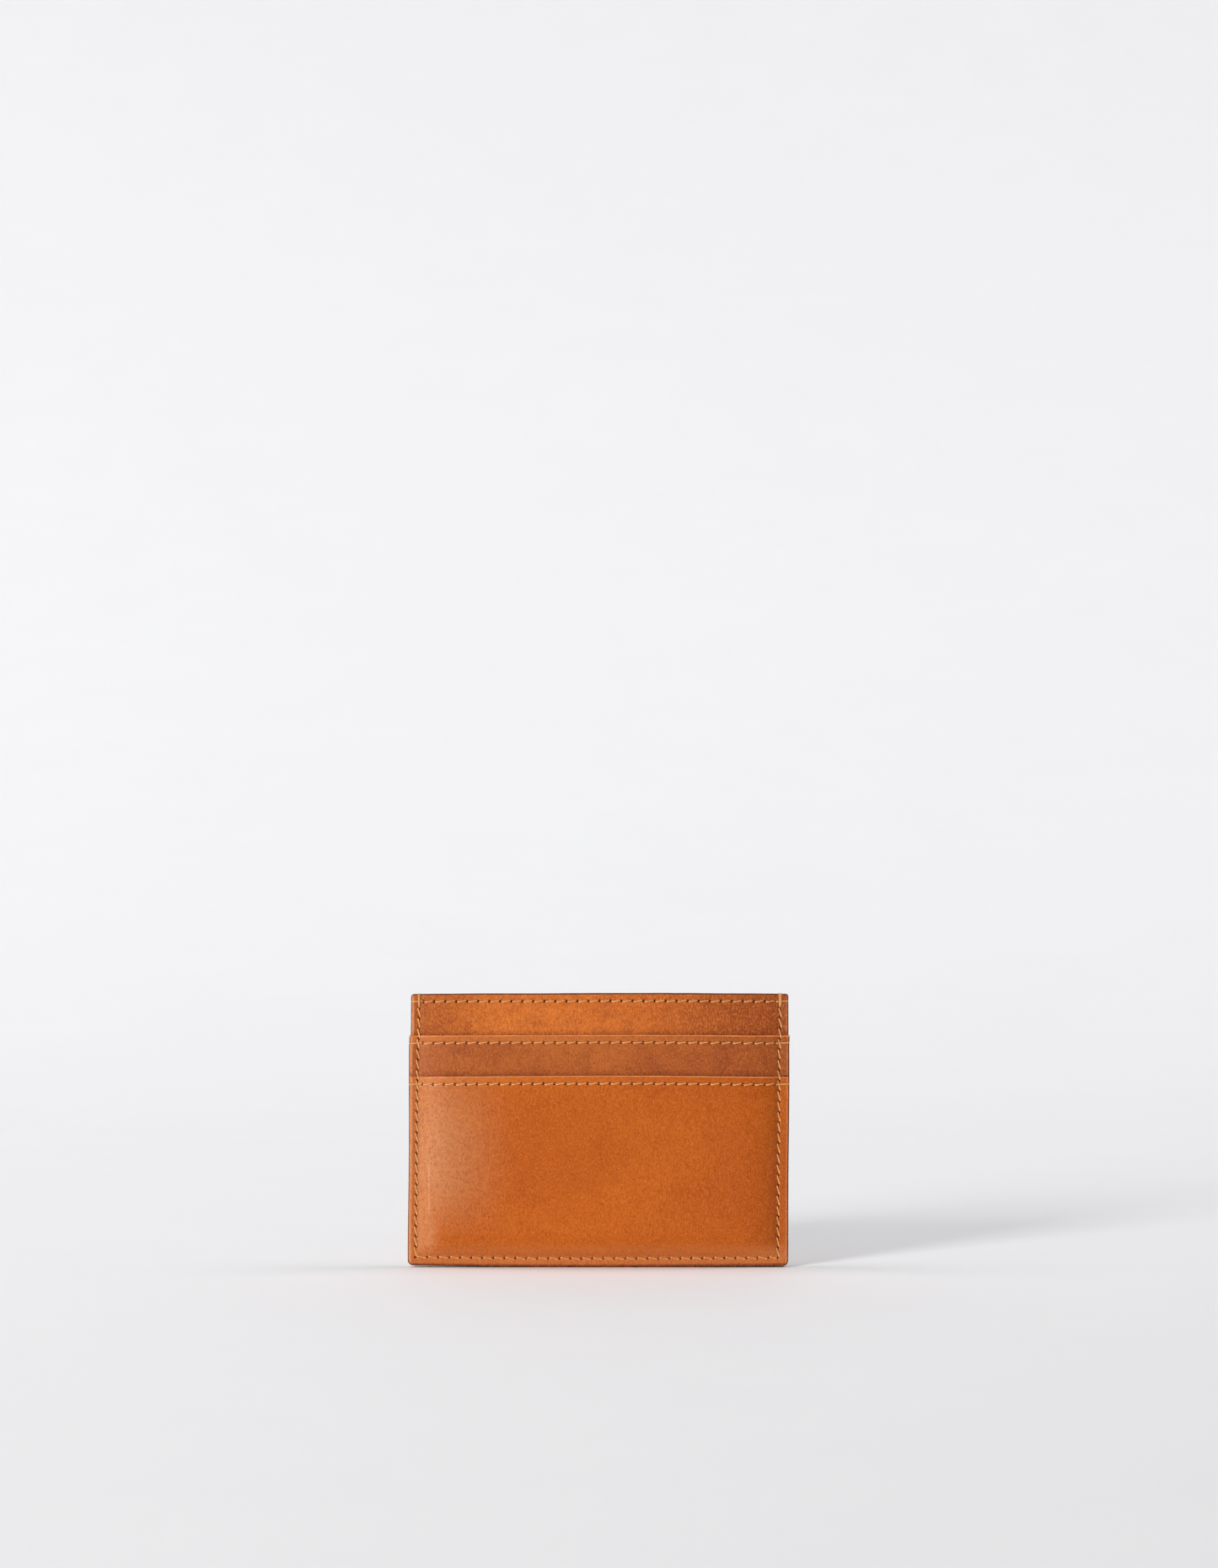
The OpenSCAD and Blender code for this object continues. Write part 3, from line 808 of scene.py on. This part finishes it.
# Dyes as screen colours, and how far each effect of grain_leather goes; pale is the colour of a painted
# highlight.
# right darkens towards the right, partly dye and partly painted shade on the side away from the key light,
# left darkens towards the left, and shade is (bottom z, top z, strength) of a painted shadow just above the
# next mouth.
TONES = {
    "panel": {
        "light": (210, 114, 40), "deep": (196, 100, 33), "dark": (116, 44, 12), "pale": (212, 138, 84),
        "mottled": 0.36, "right": 0.84, "left": 0.50, "margin": 0.0, "crease_highlight": 0.0, "painted_highlight": 0.0,
        "lip": 0.12, "base": 0.0, "shade": (61.0, 62.9, 0.48), "polish": 0.10,
    },
    "upper_pocket": {
        "light": (180, 95, 36), "deep": (167, 82, 30), "dark": (110, 44, 14), "pale": (204, 134, 88),
        "mottled": 0.34, "right": 0.32, "left": 0.08, "margin": 0.0, "crease_highlight": 0.0, "painted_highlight": 0.14,
        "lip": 0.50, "base": 0.0, "shade": (50.2, 52.3, 0.56), "polish": 0.08,
    },
    "lower_pocket": {
        "light": (192, 96, 10), "deep": (182, 87, 8), "dark": (136, 52, 4), "pale": (205, 149, 103),
        "mottled": 0.14, "right": 0.20, "left": 0.18, "margin": 0.08, "crease_highlight": 0.34, "painted_highlight": 0.68,
        "lip": 0.24, "base": 0.32, "shade": (0.0, 4.0, 0.0), "polish": 0.12,
    },
}

# Screen colours of the effects that every leaf shares. The lip, base, bevel and crease tints are painted
# light: highlights on the lip, the side bevels and a crease, and a lift above the base seam. The burnish tint
# is the dark edge paint along the base.
TINTS = {
    "lip": (218, 126, 58), "base": (224, 152, 98), "bevel_highlight": (226, 160, 112),
    "burnish": (92, 44, 22), "crease_highlight": (228, 172, 132),
}


def linear(r, g, b):
    """A screen colour of 0 to 255 as linear RGBA."""
    f = lambda c: c / 12.92 if c <= 0.04045 else ((c + 0.055) / 1.055) ** 2.4
    return (f(r / 255), f(g / 255), f(b / 255), 1.0)


class Nodes:
    """Shorthand for building a node tree."""

    def __init__(self, name):
        self.material = bpy.data.materials.new(name)
        self.material.use_nodes = True
        self.tree = self.material.node_tree
        self.shader = self.tree.nodes["Principled BSDF"]
        coords = self.tree.nodes.new("ShaderNodeTexCoord").outputs["Object"]
        self.mm = self.vector("SCALE", coords, scale=1 / MM)

    def link(self, value, socket):
        if isinstance(value, bpy.types.NodeSocket):
            self.tree.links.new(value, socket)
        else:
            socket.default_value = value

    def vector(self, operation, a, b=None, scale=None):
        node = self.tree.nodes.new("ShaderNodeVectorMath")
        node.operation = operation
        self.link(a, node.inputs[0])
        if b is not None:
            self.link(b, node.inputs[1])
        if scale is not None:
            node.inputs["Scale"].default_value = scale
        return node.outputs[0]

    def math(self, operation, a, b):
        node = self.tree.nodes.new("ShaderNodeMath")
        node.operation = operation
        self.link(a, node.inputs[0])
        self.link(b, node.inputs[1])
        return node.outputs[0]

    def noise(self, stretch, detail=3.0, roughness=0.55, distortion=0.0):
        """Noise whose features are about 1 / stretch millimetres along X, Y and Z."""
        node = self.tree.nodes.new("ShaderNodeTexNoise")
        self.link(self.vector("MULTIPLY", self.mm, stretch), node.inputs["Vector"])
        node.inputs["Scale"].default_value = 1.0
        node.inputs["Detail"].default_value = detail
        node.inputs["Roughness"].default_value = roughness
        node.inputs["Distortion"].default_value = distortion
        return node.outputs[0]

    def voronoi(self, stretch):
        """Distance to the border of cells about 1 / stretch millimetres across."""
        node = self.tree.nodes.new("ShaderNodeTexVoronoi")
        node.feature = "DISTANCE_TO_EDGE"
        self.link(self.vector("MULTIPLY", self.mm, stretch), node.inputs["Vector"])
        node.inputs["Scale"].default_value = 1.0
        return node.outputs["Distance"]

    def ramp(self, value, low, high, out_low=0.0, out_high=1.0):
        """A smooth step from out_low at low to out_high at high."""
        node = self.tree.nodes.new("ShaderNodeMapRange")
        node.interpolation_type = "SMOOTHSTEP"
        self.link(value, node.inputs["Value"])
        sockets = ("From Min", "From Max", "To Min", "To Max")
        for socket, number in zip(sockets, (low, high, out_low, out_high)):
            node.inputs[socket].default_value = number
        return node.outputs["Result"]

    def mix(self, factor, a, b):
        node = self.tree.nodes.new("ShaderNodeMix")
        node.data_type = "RGBA"
        self.link(factor, node.inputs["Factor"])
        self.link(a, node.inputs["A"])
        self.link(b, node.inputs["B"])
        return node.outputs["Result"]

    def dye(self, colour, mask, weight, tint):
        """The colour with up to that weight of a tint over it, where the mask is 1."""
        return self.mix(self.math("MULTIPLY", mask, weight), colour, tint)

    def axis(self, name):
        node = self.tree.nodes.new("ShaderNodeSeparateXYZ")
        self.link(self.mm, node.inputs[0])
        return node.outputs[name]

    def bump(self, height, distance, strength, under=None):
        node = self.tree.nodes.new("ShaderNodeBump")
        node.inputs["Strength"].default_value = strength
        node.inputs["Distance"].default_value = distance * MM
        self.link(height, node.inputs["Height"])
        if under is not None:
            self.link(under, node.inputs["Normal"])
        return node.outputs["Normal"]

    def set(self, **sockets):
        for name, value in sockets.items():
            self.link(value, self.shader.inputs[name.replace("_", " ")])


def grain_leather(name, tone, seed, mouth):
    """The grain side: mottled aniline dye, fine pebbled grain, pores, a soft polish, and painted highlights
    and shade.

    tone is one row of TONES and mouth the height of the leaf's top edge.
    """
    n = Nodes(name)
    light, deep, dark, pale = (linear(*tone[key]) for key in ("light", "deep", "dark", "pale"))
    bright = (min(1.0, light[0] * 1.25), light[1] * 1.5, light[2] + 0.036, 1.0)
    plain = n.mm
    n.mm = n.vector("ADD", plain, (seed * 37.0, seed * 11.0, seed * 53.0))
    cloud = n.noise((0.030, 0.030, 0.045), detail=2)
    mottle = n.noise((0.22, 0.22, 0.27), distortion=0.3)
    speck = n.noise((1.0, 1.0, 0.9), detail=2, roughness=0.6)
    grain = n.noise((3.6, 3.6, 1.5), detail=3, roughness=0.6, distortion=0.4)
    fleck = n.noise((5.0, 5.0, 3.0), detail=3, roughness=0.65)
    pebble = n.voronoi((3.0, 3.0, 1.7))
    wrinkle = n.voronoi((0.50, 0.50, 0.62))
    n.mm = plain
    x, z = n.axis("X"), n.axis("Z")
    colour = n.mix(n.ramp(cloud, 0.36, 0.64), light, deep)
    colour = n.dye(colour, n.ramp(mottle, 0.44, 0.72), tone["mottled"], dark)
    colour = n.dye(colour, n.ramp(mottle, 0.46, 0.28), tone["mottled"] * 0.5, light)
    # Darker towards the right: partly dye, partly painted shade on the side away from the key light.
    colour = n.dye(colour, n.ramp(x, 0, 52), tone["right"], dark)
    colour = n.dye(colour, n.ramp(x, -22, -46), tone["left"], dark)
    # A painted highlight along the left, where the key light catches the shoulder, and a painted highlight on
    # the lip above the stitches.
    # Painted highlight: a pale tint along the left shoulder, standing in for the key light's reflection.
    painted_highlight = n.math("MULTIPLY", n.ramp(x, -20, -46), n.ramp(z, 4, 26))
    painted_highlight = n.math("MULTIPLY", painted_highlight, n.ramp(z, mouth, mouth - 16, 0.55, 1.0))
    beside = n.math("MULTIPLY", n.ramp(x, -40.5, -45), n.ramp(z, 2.5, 7, 0.0, 0.8))
    painted_highlight = n.math("MAXIMUM", painted_highlight, beside)
    painted_highlight = n.math("MULTIPLY", painted_highlight, n.ramp(speck, 0.3, 0.7, 1.1, 0.8))
    painted_highlight = n.math("MULTIPLY", painted_highlight, n.ramp(x, -RIM_U - 0.5, -RIM_U + 0.6, 0.5, 1.0))
    colour = n.dye(colour, n.ramp(x, -RIM_U + 0.5, -RIM_U - 0.3), tone["margin"], dark)
    colour = n.dye(colour, painted_highlight, tone["painted_highlight"], pale)
    # Painted highlight: a lighter band on the lip below each top edge, stronger towards the lit left.
    lip = n.math("MULTIPLY", n.ramp(z, mouth - 2.6, mouth - 1.4), n.ramp(x, 60, -42))
    colour = n.dye(colour, lip, tone["lip"], linear(*TINTS["lip"]))
    # Painted light: a lighter band just above the base seam that lifts the shade of the seam channel.
    colour = n.dye(colour, n.ramp(z, 7.5, 3.5), tone["base"], linear(*TINTS["base"]))
    # Painted highlights on the bevels along both sides, stronger on the left towards the key light, and the
    # burnished line along the base, follow the outline.
    step = 0.16 + (TOP_STEP if mouth == MOUTH_Z["panel"] else 0.0)
    shift = n.math("SUBTRACT", x, n.ramp(z, 6, 40, -0.30, 0.0))
    left_x = n.math("SUBTRACT", shift, n.ramp(z, 57, 63, 0.0, step))
    right_x = n.math("SUBTRACT", shift, n.ramp(z, 57, 63, 0.0, 0.32 - step))
    for across, inner, outer, weight in (
        (left_x, -HALF_W + 1.1, -HALF_W + 0.7, 0.70), (right_x, HALF_W - 0.95, HALF_W - 0.55, 0.35),
    ):
        colour = n.dye(colour, n.ramp(across, inner, outer), weight, linear(*TINTS["bevel_highlight"]))
    base_z = n.math("SUBTRACT", z, n.math("MULTIPLY", n.math("MULTIPLY", x, x), 0.36 / HALF_W**2))
    colour = n.mix(n.ramp(base_z, 0.95, 0.55, 0.0, 0.88), colour, linear(*TINTS["burnish"]))
    # A painted highlight along a faint crease up the left of the lower pocket.
    crease_highlight = n.math("MULTIPLY", n.ramp(x, -45.0, -44.7), n.ramp(x, -44.3, -44.6))
    crease_highlight = n.math("MULTIPLY", crease_highlight, n.math("MULTIPLY", n.ramp(z, 12, 16), n.ramp(z, 31, 24)))
    colour = n.dye(colour, crease_highlight, tone["crease_highlight"], linear(*TINTS["crease_highlight"]))
    # Painted shadow: a darker band on this leaf just above the mouth of the pocket in front of it.
    low, high, strength = tone["shade"]
    shade = n.math("MULTIPLY", n.ramp(z, high, low), n.ramp(speck, 0.2, 0.7, 0.5, 1.0))
    colour = n.dye(colour, shade, strength, dark)
    for height, low, high, weight, tint in (
        (speck, 0.50, 0.70, 0.14, dark), (speck, 0.50, 0.32, 0.10, bright),
        (pebble, 0.14, 0.0, 0.36, dark), (pebble, 0.16, 0.40, 0.24, bright),
        (grain, 0.50, 0.66, 0.42, dark), (grain, 0.50, 0.34, 0.40, bright),
        (fleck, 0.52, 0.34, 0.24, light),
    ):
        colour = n.dye(colour, n.ramp(height, low, high), weight, tint)
    rough = n.math("ADD", 0.34, n.math("MULTIPLY", n.math("ADD", mottle, grain), 0.10))
    # Fine creases where the left edge has been flexed.
    flexed = n.math("MULTIPLY", n.ramp(x, -36, -42), n.ramp(z, 44, 37))
    flexed = n.math("MULTIPLY", flexed, n.ramp(z, 24, 31))
    crease = n.math("MULTIPLY", n.ramp(wrinkle, 0.0, 0.16), flexed)
    normal = n.bump(cloud, 0.10, 0.35)
    normal = n.bump(speck, 0.045, 0.7, normal)
    normal = n.bump(grain, 0.022, 0.8, normal)
    normal = n.bump(n.ramp(pebble, 0.0, 0.20), 0.022, 0.7, normal)
    normal = n.bump(crease, 0.030, 0.8, normal)
    n.set(Base_Color=colour, Roughness=rough, Normal=normal, Specular_IOR_Level=0.12)
    n.set(Coat_Weight=tone["polish"], Coat_Roughness=0.26)
    return n.material


def flesh_leather():
    """The flesh side: pale brown short nap."""
    n = Nodes("leather_flesh_side")
    nap = n.noise((3.0, 3.0, 2.2), detail=5, roughness=0.7)
    cloud = n.noise((0.12, 0.12, 0.12), detail=2)
    colour = n.mix(n.ramp(nap, 0.35, 0.7), linear(176, 122, 78), linear(128, 80, 44))
    colour = n.dye(colour, cloud, 0.4, linear(150, 96, 56))
    n.set(Base_Color=colour, Roughness=0.92, Normal=n.bump(nap, 0.12, 0.9), Specular_IOR_Level=0.2)
    n.set(Sheen_Weight=0.35, Sheen_Roughness=0.6)
    return n.material


def cut_leather():
    """Cut edges and the walls of the needle holes: compressed fibre."""
    n = Nodes("leather_cut_edge")
    fibre = n.noise((2.2, 6.0, 2.2), detail=4, roughness=0.7)
    colour = n.mix(n.ramp(fibre, 0.35, 0.7), linear(66, 24, 12), linear(36, 13, 7))
    n.set(Base_Color=colour, Roughness=0.8, Normal=n.bump(fibre, 0.06, 0.8), Specular_IOR_Level=0.25)
    return n.material


def edge_paint(name, light, deep, dark):
    """Satin edge paint, rubbed thin here and there."""
    n = Nodes(name)
    wear = n.noise((0.35, 0.9, 0.35), detail=4, roughness=0.6)
    fine = n.noise((3.0, 3.0, 3.0), detail=3)
    colour = n.mix(n.ramp(wear, 0.4, 0.7), linear(*deep), linear(*light))
    colour = n.dye(colour, n.ramp(fine, 0.5, 0.8), 0.4, linear(*dark))
    rough = n.ramp(wear, 0.3, 0.7, 0.38, 0.52)
    n.set(Base_Color=colour, Roughness=rough, Normal=n.bump(fine, 0.03, 0.6), Specular_IOR_Level=0.3)
    n.set(Coat_Weight=0.08, Coat_Roughness=0.35)
    return n.material


def thread_fibre():
    """Light tan twisted thread with fine fibres and a little wax."""
    n = Nodes("thread_light_tan")
    fibre = n.noise((9.0, 9.0, 9.0), detail=4, roughness=0.7)
    tone = n.noise((0.5, 0.5, 0.5), detail=2)
    colour = n.mix(n.ramp(fibre, 0.35, 0.72), linear(240, 178, 106), linear(184, 120, 62))
    colour = n.dye(colour, n.ramp(tone, 0.45, 0.7), 0.45, linear(192, 124, 62))
    n.set(Base_Color=colour, Roughness=0.62, Normal=n.bump(fibre, 0.05, 0.8), Specular_IOR_Level=0.35)
    n.set(Sheen_Weight=0.3, Sheen_Roughness=0.45)
    return n.material


def backdrop_material():
    n = Nodes("pale_backdrop")
    speck = n.noise((0.02, 0.02, 0.02), detail=2)
    colour = n.mix(speck, (0.84, 0.84, 0.855, 1), (0.86, 0.86, 0.87, 1))
    n.set(Base_Color=colour, Roughness=0.75, Specular_IOR_Level=0.2)
    return n.material


# ---------------------------------------------------------------- stage, light and camera

# Watts of each light, and the strength of the world.
POWER = {"key": 49.3, "wash_left": 36.5, "wash_right": 33.2, "world": 0.233}


def make_stage():
    """A pale floor that sweeps up in one long curve behind the holder."""
    floor_z = cad_box[0][2]
    half, front, start, radius, wall = 7.0, -5.0, 0.45, 2.8, 5.0
    profile = [(front, floor_z), (-1.0, floor_z), (0.0, floor_z), (start, floor_z)]
    for a in np.linspace(0, math.pi / 2, 40)[1:]:
        profile.append((start + radius * math.sin(a), floor_z + radius * (1 - math.cos(a))))
    profile.append((start + radius, floor_z + wall))
    points = [(x, y, z) for y, z in profile for x in (-half, half)]
    faces = [(2 * i, 2 * i + 1, 2 * i + 3, 2 * i + 2) for i in range(len(profile) - 1)]
    obj = make_object("backdrop", points, faces, [backdrop_material()], smooth_angle=30)


def area_light(name, place, target, size, power, colour=(1, 1, 1)):
    data = bpy.data.lights.new(name, "AREA")
    data.shape = "RECTANGLE"
    data.size, data.size_y = size
    data.energy = power
    data.color = colour
    obj = bpy.data.objects.new(name, data)
    obj.location = place
    obj.rotation_euler = (Vector(target) - Vector(place)).to_track_quat("-Z", "Y").to_euler()
    bpy.context.scene.collection.objects.link(obj)


def make_lights():
    middle = (0, 0, MOUTH_Z["panel"] / 2 * MM)
    area_light("key_left", (-1.40, -1.82, 0.74), middle, (0.6, 0.9), POWER["key"], (1.0, 0.985, 0.965))
    for name, side in (("wash_left", -1), ("wash_right", 1)):
        area_light(name, (side * 1.7, 0.28, 2.0), (side * 0.6, 2.3, 0.9), (1.6, 1.6), POWER[name])
    world_data = bpy.data.worlds.new("studio")
    world_data.use_nodes = True
    background = world_data.node_tree.nodes["Background"]
    background.inputs["Color"].default_value = (0.96, 0.97, 1.0, 1)
    background.inputs["Strength"].default_value = POWER["world"]
    bpy.context.scene.world = world_data


def make_camera():
    """Level and square on, a little above the holder, with the holder low in a tall frame."""
    distance, height, aside = 1.2, 0.12704, 0.0026
    half_view = 0.2063
    data = bpy.data.cameras.new("camera")
    data.sensor_fit = "VERTICAL"
    data.sensor_height = 36
    data.lens = data.sensor_height / 2 * distance / half_view
    obj = bpy.data.objects.new("camera", data)
    obj.location = (aside, -distance, height)
    obj.rotation_euler = (math.pi / 2, 0, 0)
    bpy.context.scene.collection.objects.link(obj)
    bpy.context.scene.camera = obj


# ---------------------------------------------------------------- build


def build():
    make_camera()
    make_stage()
    make_lights()
    bpy.context.scene.view_settings.view_transform = "Standard"
    flesh, cut, thread = flesh_leather(), cut_leather(), thread_fibre()
    rim_paint = edge_paint("edge_paint_dark_brown", (128, 66, 32), (88, 40, 18), (56, 26, 13))
    # The mouth films' tan paint is lightened to carry a painted highlight on the lip.
    lip_paint = edge_paint("edge_paint_tan_and_lip_highlight", (224, 140, 80), (204, 118, 60), (160, 88, 44))
    for face in SIDES:
        for leaf in LEAVES:
            seed = 1 + LEAVES.index(leaf) + 3 * SIDES.index(face)
            grain = grain_leather(f"leather_{face}_{leaf}", TONES[leaf], seed, MOUTH_Z[leaf])
            make_leaf(leaf, face, [grain, flesh, cut])
            make_mouth_paint(leaf, face, rim_paint if leaf == "panel" else lip_paint)
            make_row_threads(leaf, face, thread)
        make_stem_threads(face, thread)
    make_rim_paint(rim_paint)
    make_rim_thread("front", "needle", thread)
    make_rim_thread("back", "bobbin", thread)


build()
